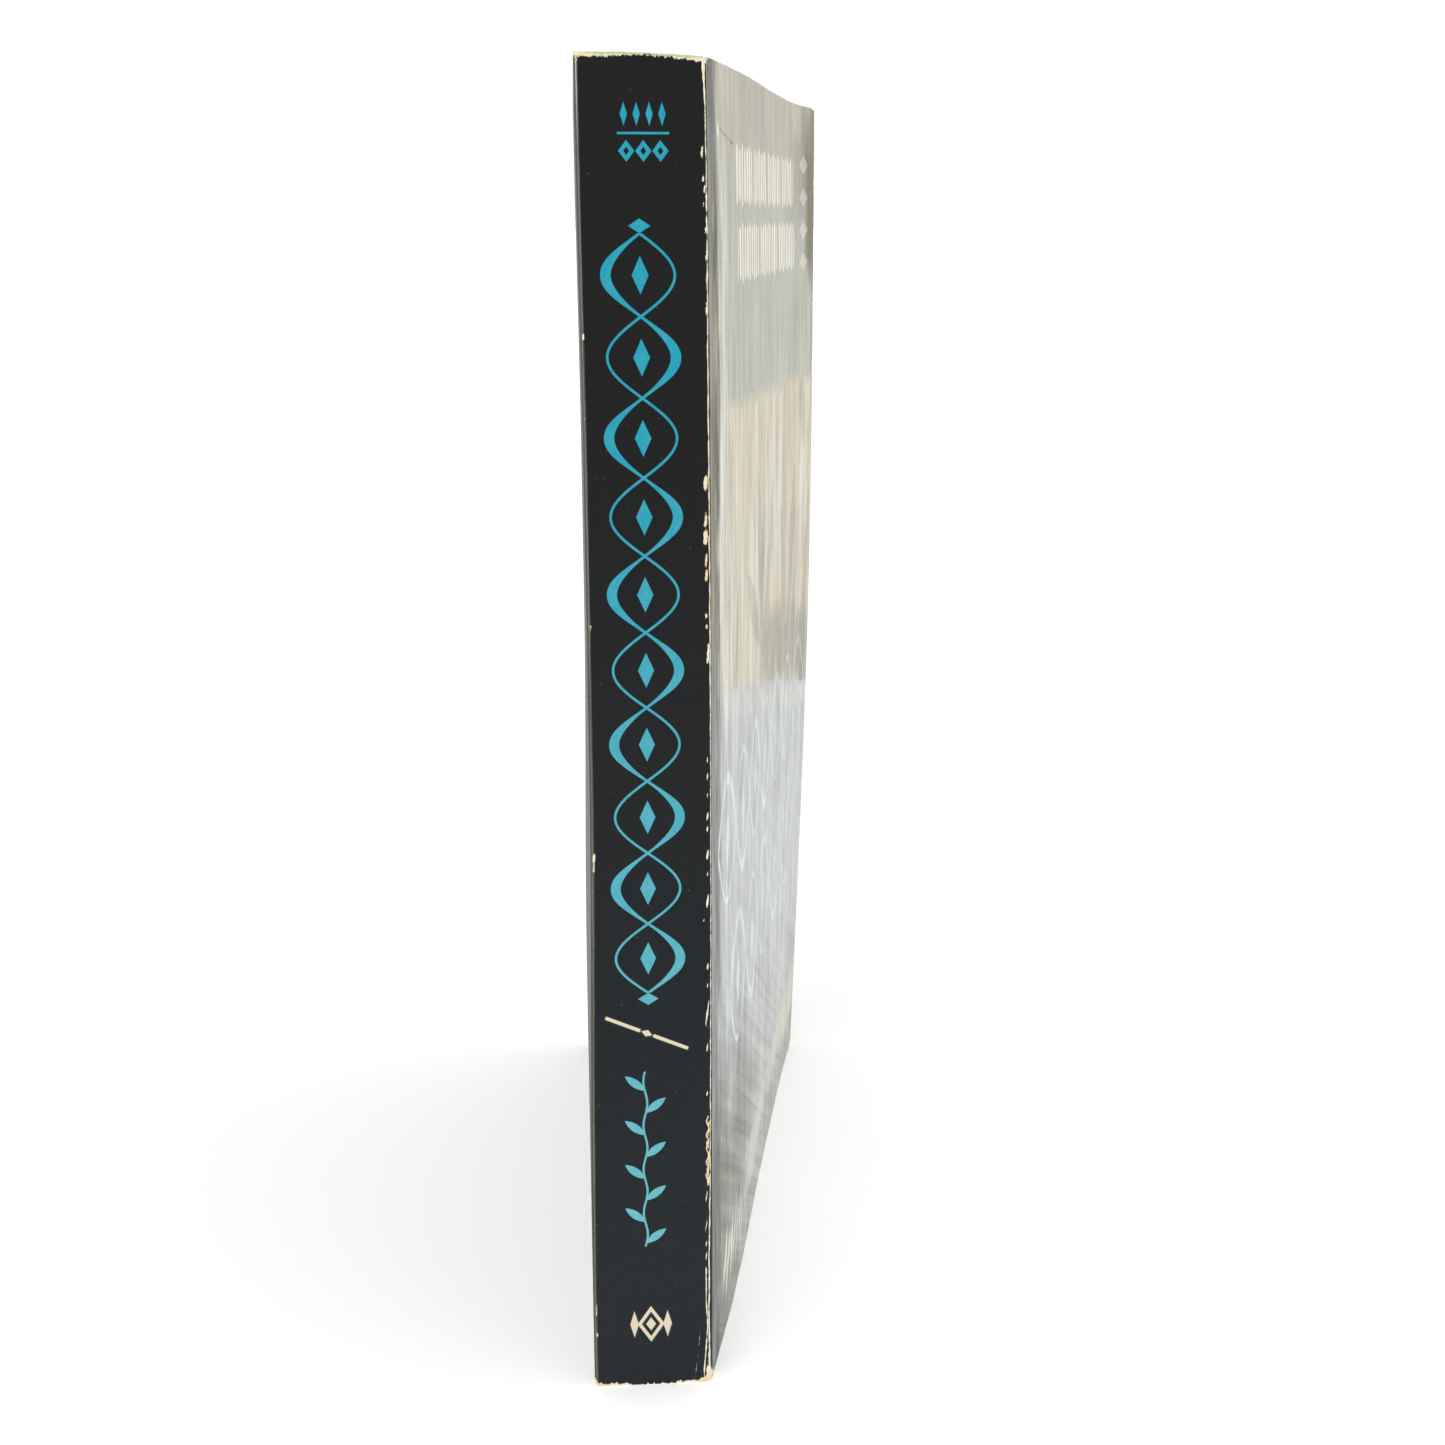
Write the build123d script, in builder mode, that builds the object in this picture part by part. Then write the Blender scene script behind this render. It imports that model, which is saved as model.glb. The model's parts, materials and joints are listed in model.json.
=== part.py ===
from build123d import *
import math
import os

# A small old perfect-bound paperback, standing on its tail.
# Millimetres and degrees. +Z runs from tail to head, the spine faces -Y, the front cover is on the
# +X side, and the origin is the middle of the page block's tail.

# Page block
book_height = 165.0          # trimmed height, tail to head
leaf_depth = 106.2           # from the glued back edge of a leaf to its fore edge
block_thickness = 14.7       # all the leaves together, as loose as they lie at the tail
cover_play = 0.1             # air between the outermost leaf and the cover beside it

# Cover card and glue
card = 0.3                   # thickness of the cover card
glue_film = 0.5              # adhesive between the leaves' back edges and the card
glue_short = 0.6             # the glue stops this far short of head and tail
rubbed_corner = 1.0          # radius of the worn corners, at both ends of each fold

# Hinge lines
score_gap = 0.1              # width of the opened score between the fold and a cover
flare_angle = 12.0           # how far the front cover stands open at its hinge, at rest

# Front cover: the angle at which it stands open at its tail, middle and head, and the angle by
# which its fore edge curls outwards past that
tail_stand_angle = 11.6
tail_curl_angle = 2.0
middle_stand_angle = 12.6
middle_curl_angle = 4.1
head_stand_angle = 12.1
head_curl_angle = 9.5
middle_share = 0.5           # the middle section's place, as a share of the height
curl_length = 24.0           # the strip along the fore edge that curls

# Sizes that follow
fold_radius = card + glue_film
outer_width = block_thickness + 2 * (cover_play + card)
outer_front = outer_width / 2
back_edge_y = -leaf_depth / 2
fore_edge_y = leaf_depth / 2
spine_face_y = back_edge_y - fold_radius
fold_centre_x = outer_front - fold_radius
fold_centre_y = spine_face_y + fold_radius
hinge_x = fold_centre_x + fold_radius * math.cos(math.radians(flare_angle))
hinge_y = fold_centre_y - fold_radius * math.sin(math.radians(flare_angle))
cover_depth = fore_edge_y - hinge_y

os.makedirs("parts", exist_ok=True)


# Page block: the leaves as one solid, square-cut on three sides and at its glued back
with BuildPart() as text_block:
    with BuildSketch(Plane.XY):
        Rectangle(block_thickness, leaf_depth)
    extrude(amount=book_height)


# Glue: fills the inside of the spine strip up to the leaves, with its two back corners rounded
# where the card turns round them
with BuildPart() as spine_glue:
    with BuildSketch(Plane.XY.offset(glue_short)):
        with Locations((0, back_edge_y)):
            Rectangle(block_thickness, 2 * glue_film)
        fillet(vertices().group_by(Axis.Y)[0], glue_film)
        with Locations((0, back_edge_y)):
            Rectangle(outer_width, 2 * glue_film, align=(Align.CENTER, Align.MIN), mode=Mode.SUBTRACT)
    extrude(amount=book_height - 2 * glue_short)


# Spine strip: card across the back, bent round the glue at both sides. The back cover's fold turns
# a full quarter, and the front cover's fold stops short by the angle at which that cover stands.
with BuildPart() as cover_spine:
    with BuildSketch(Plane.XY):
        with BuildLine():
            back_fold = CenterArc((-fold_centre_x, fold_centre_y), fold_radius, 180, 90)
            front_fold = CenterArc((fold_centre_x, fold_centre_y), fold_radius, 270, 90 - flare_angle)
            Line(back_fold @ 1, front_fold @ 0)
            offset(amount=card, side=Side.LEFT)
        make_face()
    extrude(amount=book_height)
    with BuildSketch(Plane.XZ.offset(-spine_face_y)):
        with Locations((0, book_height / 2)):
            RectangleRounded(outer_width, book_height, rubbed_corner)
    extrude(amount=2 * fold_radius, both=True, mode=Mode.INTERSECT)


# Front cover: one sheet lofted through level sections at its tail, middle and head. Each runs
# straight from its score and ends in an arc that curls outwards, so the sheet twists a little
# and its head corner curls out further than its tail corner.
cover_sections = [
    (0, tail_stand_angle, tail_curl_angle),
    (book_height * middle_share, middle_stand_angle, middle_curl_angle),
    (book_height, head_stand_angle, head_curl_angle),
]
with BuildPart() as front_cover:
    for height, stand, curl in cover_sections:
        lean = math.radians(stand)
        ahead = Vector(math.sin(lean), math.cos(lean))
        start = Vector(hinge_x, hinge_y) + ahead * score_gap
        curl_start = start + ahead * (cover_depth - curl_length - score_gap)
        with BuildSketch(Plane.XY.offset(height)):
            with BuildLine():
                Line(start, curl_start)
                JernArc(curl_start, ahead, curl_length / math.radians(curl), -curl)
                offset(amount=card, side=Side.LEFT)
            make_face()
    loft()
    hinge_side = edges().group_by(SortBy.LENGTH)[0].group_by(Axis.Y)[0]
    fillet(hinge_side, rubbed_corner)


# Back cover: a flat panel from its score to the fore edge of the leaves
with BuildPart() as back_cover:
    with BuildSketch(Plane.XY):
        with Locations((-outer_front, fold_centre_y + score_gap)):
            Rectangle(card, leaf_depth - score_gap, align=(Align.MIN, Align.MIN))
    extrude(amount=book_height)
    fillet(edges().filter_by(Axis.X).group_by(Axis.Y)[0], rubbed_corner)


text_block.part.label = "text_block"
spine_glue.part.label = "spine_glue"
cover_spine.part.label = "cover_spine"
front_cover.part.label = "front_cover"
back_cover.part.label = "back_cover"

export_step(text_block.part, "parts/text_block.step")
export_step(spine_glue.part, "parts/spine_glue.step")
export_step(cover_spine.part, "parts/cover_spine.step")
export_step(front_cover.part, "parts/front_cover.step")
export_step(back_cover.part, "parts/back_cover.step")

print("front hinge", round(hinge_x, 4), round(hinge_y, 4))
print("back hinge", round(-outer_front, 4), round(fold_centre_y, 4))
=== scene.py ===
import json
import math
from collections import namedtuple
from functools import partialmethod, reduce

import bpy
import numpy as np
from bpy.props import FloatProperty, FloatVectorProperty, IntProperty, PointerProperty
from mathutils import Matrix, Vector


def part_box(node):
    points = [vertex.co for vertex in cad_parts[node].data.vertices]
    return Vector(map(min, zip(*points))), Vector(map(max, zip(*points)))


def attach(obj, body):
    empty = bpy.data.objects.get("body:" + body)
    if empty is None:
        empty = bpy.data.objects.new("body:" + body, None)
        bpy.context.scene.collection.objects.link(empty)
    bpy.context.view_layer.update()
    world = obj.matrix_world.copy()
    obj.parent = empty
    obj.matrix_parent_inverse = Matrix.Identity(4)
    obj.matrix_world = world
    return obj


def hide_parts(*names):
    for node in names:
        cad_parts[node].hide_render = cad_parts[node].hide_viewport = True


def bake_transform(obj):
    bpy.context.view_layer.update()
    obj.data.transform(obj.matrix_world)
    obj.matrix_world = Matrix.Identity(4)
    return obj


# An old paperback standing on its tail: page block, binding glue and a worn, printed cover card.
# Shapes and prints are worked out in millimetres and written to the meshes in metres.
bl_info = {
    "name": "Worn paperback",
    "version": (1, 0, 0),
    "blender": (4, 5, 0),
    "location": "View3D > Sidebar > Paperback",
    "description": "Dresses a packed paperback with leaves, glue, printed card and wear",
    "category": "Add Mesh",
}

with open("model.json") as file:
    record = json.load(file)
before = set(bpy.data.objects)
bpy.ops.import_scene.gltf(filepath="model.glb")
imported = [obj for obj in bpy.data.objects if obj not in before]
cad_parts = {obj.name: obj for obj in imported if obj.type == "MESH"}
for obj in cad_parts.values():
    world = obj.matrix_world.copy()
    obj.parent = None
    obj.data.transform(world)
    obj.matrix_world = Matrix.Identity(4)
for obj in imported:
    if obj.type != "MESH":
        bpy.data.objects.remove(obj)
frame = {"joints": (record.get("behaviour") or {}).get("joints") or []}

MM = 0.001


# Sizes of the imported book, in millimetres

def packed_box(node):
    """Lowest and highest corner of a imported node, in millimetres."""
    low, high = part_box(node)
    return np.array(low) / MM, np.array(high) / MM


BLOCK_LOW, BLOCK_HIGH = packed_box("text_block")
GLUE_LOW, GLUE_HIGH = packed_box("spine_glue")
STRIP_LOW = packed_box("cover_spine")[0]
HINGE = {joint["name"]: np.array(joint["pos_m"]) / MM for joint in frame["joints"]}
FRONT_HINGE = HINGE["front_cover_hinge"]
BACK_HINGE = HINGE["back_cover_hinge"]

HEIGHT = BLOCK_HIGH[2]
FORE_EDGE = BLOCK_HIGH[1]
SPINE_FACE = STRIP_LOW[1]
HALF_WIDTH = -STRIP_LOW[0]
FOLD_RADIUS = BLOCK_LOW[1] - SPINE_FACE
FLAT_HALF = HALF_WIDTH - FOLD_RADIUS
FLARE = math.asin((BLOCK_LOW[1] - FRONT_HINGE[1]) / FOLD_RADIUS)

# Places on the unfolded cover: u runs from the middle of the spine towards the front cover's
# fore edge, v from tail to head
FRONT_FOLD_U = FLAT_HALF + FOLD_RADIUS * (math.pi / 2 - FLARE)
BACK_FOLD_U = -(FLAT_HALF + FOLD_RADIUS * math.pi / 2)
FRONT_EDGE_U = FRONT_FOLD_U + FORE_EDGE - FRONT_HINGE[1]
BACK_EDGE_U = BACK_FOLD_U - (FORE_EDGE - BACK_HINGE[1])
SEAM_U = FLAT_HALF - 0.6


# What a user would change

def length_property(name, description, millimetres):
    """A length, given in millimetres."""
    return FloatProperty(
        name=name, description=description, default=millimetres * MM, unit="LENGTH", precision=5)


def angle_property(name, description, degrees):
    """An angle, given in degrees."""
    return FloatProperty(
        name=name, description=description, default=math.radians(degrees), subtype="ANGLE")


class PaperbackSizes(bpy.types.PropertyGroup):
    """Sizes of the leaves, the glue and the cover card."""

    leaves: IntProperty(
        name="Leaves", description="Number of leaves in the page block", default=115, min=10)
    groove: length_property("Groove", "Depth of the groove between two leaves at the trimmed edges", 0.07)
    uneven_trim: length_property("Uneven trim", "How far a leaf may fall short of its neighbours", 0.10)
    card: length_property("Card", "Thickness of the cover card", 0.3)
    soft_rim: length_property("Soft rim", "How far the card's cut edge is rounded out by handling", 0.06)
    tail_stand: angle_property("Stand at tail", "How far the front cover stands open at its tail", 11.6)
    middle_stand: angle_property("Stand at middle", "The same angle, half way up", 12.6)
    head_stand: angle_property("Stand at head", "The same angle, at the head", 12.1)
    tail_curl: angle_property("Curl at tail", "How far the fore edge curls out at its tail", 2.0)
    middle_curl: angle_property("Curl at middle", "The same angle, half way up", 4.1)
    head_curl: angle_property("Curl at head", "The same angle, at the head", 9.5)
    curl_length: length_property("Curl length", "Width of the strip that curls, at the fore edge", 24.0)


# What each colour is for, and the colour as it is seen, from 0 to 1 in each channel
COLOURS = {
    "spine_ink": ("Near-black field of the spine", (0.084, 0.086, 0.087)),
    "spine_faded": ("The same at the tail", (0.134, 0.154, 0.170)),
    "cyan_ink": ("Ornaments at the spine's head", (0.15, 0.64, 0.735)),
    "cyan_faded": ("Ornaments lower down", (0.47, 0.78, 0.81)),
    "cream_ink": ("Cream ornaments of the spine", (0.93, 0.87, 0.76)),
    "teal_shadow": ("Printed out of step, beside the cream", (0.13, 0.30, 0.31)),
    "white_ink": ("Bars and strokes of the front cover", (0.95, 0.93, 0.86)),
    # hinge_grey and hinge_olive: painted shade beside the front fold; hinge_grey also lightens the back
    # cover's mottle
    "hinge_grey": ("Front cover beside the fold", (0.53, 0.535, 0.52)),
    "hinge_olive": ("The same, beside the beige", (0.53, 0.52, 0.45)),
    # bright_strip: the painted highlight past the reading crease, and also other pale marks of the print
    "bright_strip": ("Strip past the reading crease", (0.87, 0.87, 0.81)),
    "sage": ("Upper field of the front cover", (0.74, 0.75, 0.70)),
    "stone": ("Streaks along the front cover's head", (0.76, 0.74, 0.68)),
    "beige": ("Brushed middle of the front cover", (0.86, 0.83, 0.735)),
    "rose": ("Warm streaks near the fore edge", (0.83, 0.775, 0.695)),
    "moss": ("Grey-green strokes and band", (0.60, 0.61, 0.56)),
    # olive: painted shade at the fore edge near the head, and also the colour of the scratch
    "olive": ("Shade at the fore edge near the head", (0.47, 0.45, 0.36)),
    "lilac": ("Lower panel of the front cover", (0.793, 0.802, 0.809)),
    "pale_line": ("Plaits on the lower panel", (0.88, 0.93, 0.93)),
    "ash": ("Boards along the front cover's tail", (0.77, 0.77, 0.75)),
    "slate": ("The same, near the spine's tail", (0.55, 0.555, 0.53)),
    # fold_groove_shade: painted shade beside the rubbed front fold
    "fold_groove_shade": ("Thin line beside the rubbed fold", (0.19, 0.18, 0.14)),
    "dusk": ("Gaps between the boards", (0.40, 0.40, 0.39)),
    "back_ink": ("Olive grey of the back cover", (0.36, 0.37, 0.34)),
    "bare_card": ("Card where the ink is rubbed off", (1.0, 0.97, 0.88)),
    "gold_card": ("The same where it is soiled", (0.96, 0.86, 0.64)),
    # chip_shade_brown: painted shade at the steps round the chips
    "chip_shade_brown": ("Rims of the chips", (0.55, 0.43, 0.25)),
    "green_card": ("Cut edge along the head", (0.70, 0.80, 0.61)),
    "inner_card": ("Unprinted inside of the card", (0.86, 0.81, 0.71)),
    "leaf": ("Outermost leaves", (0.86, 0.82, 0.72)),
    "leaf_edge": ("Trimmed edges of the leaves", (0.81, 0.75, 0.625)),
    # leaf_shade: painted shade in the grooves between leaves; the glue also mixes it in as a darker tone
    "leaf_shade": ("Grooves between the leaves", (0.60, 0.52, 0.41)),
    "head_stain": ("Faded green dye on the head", (0.65, 0.745, 0.62)),
    "glue": ("Aged binding adhesive", (0.62, 0.45, 0.22)),
}


class PaperbackColours(bpy.types.PropertyGroup):
    """Colours of the inks, the card, the paper and the glue."""

    __annotations__ = {
        name: FloatVectorProperty(
            name=name.replace("_", " ").capitalize(), description=use, default=colour, size=3,
            min=0.0, max=1.0, subtype="COLOR_GAMMA")
        for name, (use, colour) in COLOURS.items()}


class PaperbackStage(bpy.types.PropertyGroup):
    """Camera, lights and floor."""

    camera: FloatVectorProperty(
        name="Camera", description="Where the camera stands", size=3, subtype="TRANSLATION",
        unit="LENGTH", default=(-7.65 * MM, -272.8 * MM, 147.9 * MM))
    turn: angle_property("Turn", "How far the camera looks towards the front cover", 4.35)
    dip: angle_property("Dip", "How far the camera looks down", 14.87)
    lens: FloatProperty(
        name="Lens", description="Focal length on a 36 mm sensor, in millimetres", default=47.385)
    sky: FloatProperty(
        name="Sky", description="Strength of the white surroundings on the object", default=0.72)
    key: FloatProperty(
        name="Key", description="Strength of the soft lamp from the upper left", default=0.75)
    fill: FloatProperty(
        name="Fill", description="Strength of the soft lamp from the right", default=0.45)


# Shapes

def smooth_step(low, high, value):
    """0 up to low, 1 from high, and 3t^2 - 2t^3 between them."""
    t = np.clip((value - low) / (high - low), 0.0, 1.0)
    return t * t * (3.0 - 2.0 * t)


def uneven(seed, along, longest, octaves=4):
    """Waviness along a line, about -1 to 1: sines, each half as long and as high as the last."""
    rng = np.random.default_rng(seed)
    total = np.zeros_like(along)
    for octave in range(octaves):
        length = longest * rng.uniform(0.85, 1.15) / 2 ** octave
        total += np.sin(2 * np.pi * along / length + rng.uniform(0, 2 * np.pi)) / 2 ** octave
    return total / 1.5


def squeeze(x, v):
    """How far the book is pressed sideways, at x across it and v up it.

    The left side leans in by three quarters of a millimetre from 15 to 85 mm up, and gives some
    back above 110 mm. The right side leans in by half a millimetre, as the square of the height
    above 95 mm. Between the sides the two are mixed in proportion.
    """
    left = 0.75 * smooth_step(15, 85, v) - 0.3 * smooth_step(110, HEIGHT, v)
    right = -0.5 * np.clip((v - 95) / (HEIGHT - 95), 0, 1) ** 2
    share = np.clip((x + HALF_WIDTH) / (2 * HALF_WIDTH), 0, 1)
    return left * (1 - share) + right * share


def folded_strip(u):
    """Plan of the spine strip, as place and outward direction: straight over the flat, then an
    arc of the fold's radius round each side."""
    turn = np.clip(np.abs(u) - FLAT_HALF, 0, None) / FOLD_RADIUS
    side = np.sign(u)
    x = side * (np.minimum(np.abs(u), FLAT_HALF) + FOLD_RADIUS * np.sin(turn))
    y = SPINE_FACE + FOLD_RADIUS * (1 - np.cos(turn))
    return x, y, side * np.sin(turn), -np.cos(turn)


def front_panel(s, v, sizes):
    """Plan of the front cover at s from its hinge, as place and outward direction.

    At the tail, the middle and the head the sheet runs straight at its own angle from the book,
    and its last stretch is an arc that curls outwards: across = R (cos stand - cos heading) and
    along = R (sin heading - sin stand). Between the three, places are mixed as a parabola through
    them in height.
    """
    t = v / HEIGHT
    shares = (2 * (t - 0.5) * (t - 1), -4 * t * (t - 1), 2 * t * (t - 0.5))
    stands = (sizes.tail_stand, sizes.middle_stand, sizes.head_stand)
    curls = (sizes.tail_curl, sizes.middle_curl, sizes.head_curl)
    length = sizes.curl_length / MM
    start = FRONT_EDGE_U - FRONT_FOLD_U - length
    x = FRONT_HINGE[0] + 0.0 * s
    y = FRONT_HINGE[1] + 0.0 * s
    heading = 0.0 * s
    for share, stand, curl in zip(shares, stands, curls):
        straight = np.minimum(s, start)
        past = np.maximum(s - start, 0)
        radius = length / curl
        bearing = stand + past / radius
        x += share * (straight * math.sin(stand) + radius * (math.cos(stand) - np.cos(bearing)))
        y += share * (straight * math.cos(stand) + radius * (np.sin(bearing) - math.sin(stand)))
        heading += share * bearing
    return x, y, np.cos(heading), -np.sin(heading)


def cover_point(u, v, depth, sizes):
    """Place of a point of the cover card, at u and v on the unfolded sheet and depth under the
    print: the plan of the strip or panel there, less depth along its outward direction. The front
    cover swells out by 0.41 mm past its reading crease, and by 0.43 of that less at the head, and
    it ripples by 0.08 mm."""
    s = np.maximum(u - FRONT_FOLD_U, 0)
    strip = folded_strip(np.clip(u, BACK_FOLD_U, FRONT_FOLD_U))
    front = front_panel(s, v, sizes)
    back_y = BACK_HINGE[1] + np.maximum(BACK_FOLD_U - u, 0)
    back = (BACK_HINGE[0] + 0 * u, back_y, -1 + 0 * u, 0 * u)
    x, y, across, along = (
        np.where(u > FRONT_FOLD_U, f, np.where(u < BACK_FOLD_U, b, m))
        for f, b, m in zip(front, back, strip))
    swell = 0.41 * smooth_step(0, 20, s) * (1 - smooth_step(28, 60, s))
    swell *= 1 - 0.43 * smooth_step(60, HEIGHT, v)
    ripple = 0.08 * smooth_step(20, 60, s) * np.sin(v / 19 + s / 31)
    out = swell + ripple - depth
    fade = 1 - smooth_step(0, 40, s)
    x = x + squeeze(x, v) * fade + across * out
    return np.stack([x, y + along * out, v + 0 * u], axis=-1)


def corner_drop(distance, radius):
    """How much lower an edge is at a distance from a corner rounded to that radius."""
    left = np.clip(radius - distance, 0, radius)
    return radius - np.sqrt(radius ** 2 - left ** 2)


def card_outline(u):
    """Lowest and highest v of the card at u.

    They are the sheet's tail and head, less the rounding of its rubbed corners at both folds and
    both fore edges, and a slight fray. The head is trimmed out of square: over the spine it rises
    0.3 mm towards the back cover, and it dips 0.3 mm at the worn front fold.
    """
    plan_x = np.abs(folded_strip(np.clip(u, BACK_FOLD_U, FRONT_FOLD_U))[0])
    past = np.maximum(u - FRONT_FOLD_U, 0) + np.maximum(BACK_FOLD_U - u, 0)
    fold = HALF_WIDTH - plan_x + past
    fore = np.minimum(FRONT_EDGE_U - u, u - BACK_EDGE_U)
    right = u > 0
    low = corner_drop(fold, np.where(right, 1.2, 0.9)) + corner_drop(fore, 0.8)
    high = HEIGHT - corner_drop(fold, np.where(right, 0.35, 0.2)) - corner_drop(fore, 0.35)
    high += 0.3 * smooth_step(7, -3, u) * smooth_step(-70, -8, u) - 0.3 * np.exp(-((u - 7.9) / 1.3) ** 2)
    return low + 0.02 + 0.02 * uneven(3, u, 3.1), high - 0.02 - 0.02 * uneven(4, u, 2.6)


# Points and quads of a closed slab. Each quad's kind is 0 on the outer face, 1 on the border and
# 2 on the inner face, and each point has its place on the sheet and its depth.
Slab = namedtuple("Slab", "points quads kind sheet depth")


def closed_slab(across, share, outline, place, depths, pushes, seams=()):
    """A closed slab over a grid of across by share of the height, within its outline.

    Two faces on the same grid of across by height lie at the first and the last depth. Round
    their border, a ring at each depth between joins them, pushed out along the sheet by that
    ring's push, apart from a side that is a seam.
    """
    u, t = np.meshgrid(across, share, indexing="ij")
    low, high = outline(u)
    v = low + t * (high - low)
    number = np.arange(u.size).reshape(u.shape)
    border = np.concatenate([number[:, 0], number[-1, 1:], number[-2::-1, -1], number[0, -2:0:-1]])
    u, v, t = u.ravel(), v.ravel(), t.ravel()
    out_u = (u == across[-1]).astype(float) * ("last" not in seams)
    out_u -= (u == across[0]).astype(float) * ("first" not in seams)
    out_v = (t == share[-1]).astype(float) - (t == share[0])
    pushes = np.broadcast_to(pushes, (len(depths) - 2, len(border)))
    ring_u = (u[border] + pushes * out_u[border]).ravel()
    ring_v = (v[border] + pushes * out_v[border]).ravel()
    ring_depth = np.repeat(depths[1:-1], len(border))
    sheet = np.stack([np.concatenate([u, ring_u, u]), np.concatenate([v, ring_v, v])], axis=-1)
    depth = np.concatenate([0 * u + depths[0], ring_depth, 0 * u + depths[-1]])
    points = place(sheet[:, 0], sheet[:, 1], depth)
    face = np.stack([number[:-1, :-1], number[1:, :-1], number[1:, 1:], number[:-1, 1:]], axis=-1)
    face = face.reshape(-1, 4)
    last = len(points) - number.size
    rings = np.arange(len(ring_u)).reshape(-1, len(border)) + number.size
    rings = np.vstack([border, rings, border + last])
    ahead = np.roll(rings, -1, axis=1)
    rim = np.stack([rings[:-1], rings[1:], ahead[1:], ahead[:-1]], axis=-1).reshape(-1, 4)
    quads = np.concatenate([face, rim, face[:, ::-1] + last])
    kind = np.repeat([0, 1, 2], [len(face), len(rim), len(face)])
    return Slab(points, quads, kind, sheet, depth)


def mesh_piece(name, slab, makers, fields=()):
    """An object from a slab in millimetres, with its sheet places as the UV map and each field as
    a point attribute. Its kinds of quads number the makers of its materials, the last for all
    that remain."""
    mesh = bpy.data.meshes.new(name)
    mesh.from_pydata((slab.points * MM).tolist(), [], slab.quads.tolist())
    for maker in makers:
        mesh.materials.append(finish_of(maker))
    number = np.minimum(slab.kind, len(makers) - 1)
    mesh.polygons.foreach_set("material_index", number.astype(np.int32))
    mesh.polygons.foreach_set("use_smooth", np.ones(len(slab.quads), bool))
    corner = np.zeros(len(mesh.loops), np.int32)
    mesh.loops.foreach_get("vertex_index", corner)
    uv = mesh.uv_layers.new(name="sheet_mm")
    uv.uv.foreach_set("vector", slab.sheet[corner].astype(np.float32).ravel())
    for label, values in dict(fields).items():
        layer = mesh.attributes.new(label, "FLOAT", "POINT")
        layer.data.foreach_set("value", values.astype(np.float32))
    mesh.set_sharp_from_angle(angle=math.radians(50))
    mesh.update()
    piece = bpy.data.objects.new(name, mesh)
    bpy.context.scene.collection.objects.link(piece)
    return piece


def rounded_rim(thickness, width, steps=4):
    """Depths and pushes of a half-ellipse across the thickness: depth = thickness (1 - cos q) / 2
    and push = width sin q, for q from 0 to a half turn."""
    q = np.linspace(0, np.pi, steps + 1)
    return thickness * (1 - np.cos(q)) / 2, (width * np.sin(q))[1:-1, None]


def rows_up():
    """Shares of the height at which the card has rows: 0.3 mm apart, and closer at both ends."""
    close = np.array([0, 0.05, 0.12, 0.2, 0.3, 0.4, 0.52, 0.66, 0.82, 1.0, 1.2, 1.45, 1.7])
    between = np.linspace(2.0, HEIGHT - 2.0, 537)
    return np.concatenate([close, between, HEIGHT - close[::-1]]) / HEIGHT


def card_piece(name, columns, seams):
    """A stretch of the cover card over the given columns of the unfolded sheet."""
    sizes = bpy.context.scene.paperback_sizes
    depths, pushes = rounded_rim(sizes.card / MM, sizes.soft_rim / MM)
    slab = closed_slab(
        columns, rows_up(), card_outline, lambda u, v, d: cover_point(u, v, d, sizes),
        depths, pushes, seams)
    u, v = slab.sheet.T
    fields = {
        "rubbed_mm": rubbed(u, v),
        "chipped_mm": chipped(u, v),
        "soiled": soiled(u, v),
        "from_head": card_outline(u)[1] - v,
    }
    for line, course in (("first", fold_crack), ("second", fold_dashes), ("crease", tail_crease)):
        centre, fields[line + "_half"] = course(v)
        fields[line + "_across"] = u - centre
    return mesh_piece(name, slab, [printed_card, bare_card], fields)


# Wear on the unfolded card, in millimetres

# Chips beside the folds: u, v, half width, half height
CHIPS = (
    (7.04, 154.9, 0.16, 0.70), (7.18, 152.2, 0.11, 0.40), (7.34, 151.0, 0.15, 0.45),
    (7.14, 149.3, 0.06, 0.22), (7.36, 146.5, 0.13, 0.40), (7.44, 143.6, 0.09, 0.4),
    (7.46, 141.4, 0.10, 0.5), (7.44, 137.8, 0.12, 0.7),
    (7.12, 118.3, 0.30, 0.80), (7.06, 113.9, 0.19, 0.8), (7.02, 112.0, 0.26, 1.0),
    (7.13, 109.2, 0.15, 0.7), (7.12, 107.5, 0.17, 0.7), (7.09, 102.7, 0.12, 0.25),
    (7.10, 101.3, 0.14, 0.28), (7.34, 98.3, 0.19, 0.9), (7.28, 97.6, 0.16, 0.7),
    (6.66, 64.6, 0.12, 0.2), (7.28, 36.5, 0.12, 0.8), (7.12, 34.4, 0.15, 0.7),
    (7.30, 32.6, 0.13, 0.8), (7.15, 30.7, 0.16, 0.8), (7.22, 29.3, 0.18, 0.7),
    (-7.39, 134.8, 0.13, 0.45), (-7.30, 72.6, 0.17, 0.85), (-7.33, 71.4, 0.13, 0.35),
    (-7.33, 11.1, 0.08, 0.65), (-7.31, 7.6, 0.07, 0.3), (-7.26, 101.2, 0.07, 0.3),
)
# Dashes of rubbed card along the front fold: v, half height, half width
DASHES = (
    (85.0, 0.35, 0.07), (82.9, 0.40, 0.09), (80.6, 0.30, 0.06), (77.9, 0.50, 0.10),
    (76.3, 0.40, 0.09), (73.0, 0.60, 0.12), (70.5, 0.30, 0.06), (67.0, 0.80, 0.12),
    (58.4, 0.40, 0.10), (55.9, 0.30, 0.06), (52.3, 1.60, 0.08), (47.6, 0.50, 0.08),
    (41.3, 0.35, 0.07), (27.0, 0.75, 0.055), (22.9, 0.85, 0.05), (20.3, 0.40, 0.05),
    (18.5, 0.65, 0.06),
)


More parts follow.
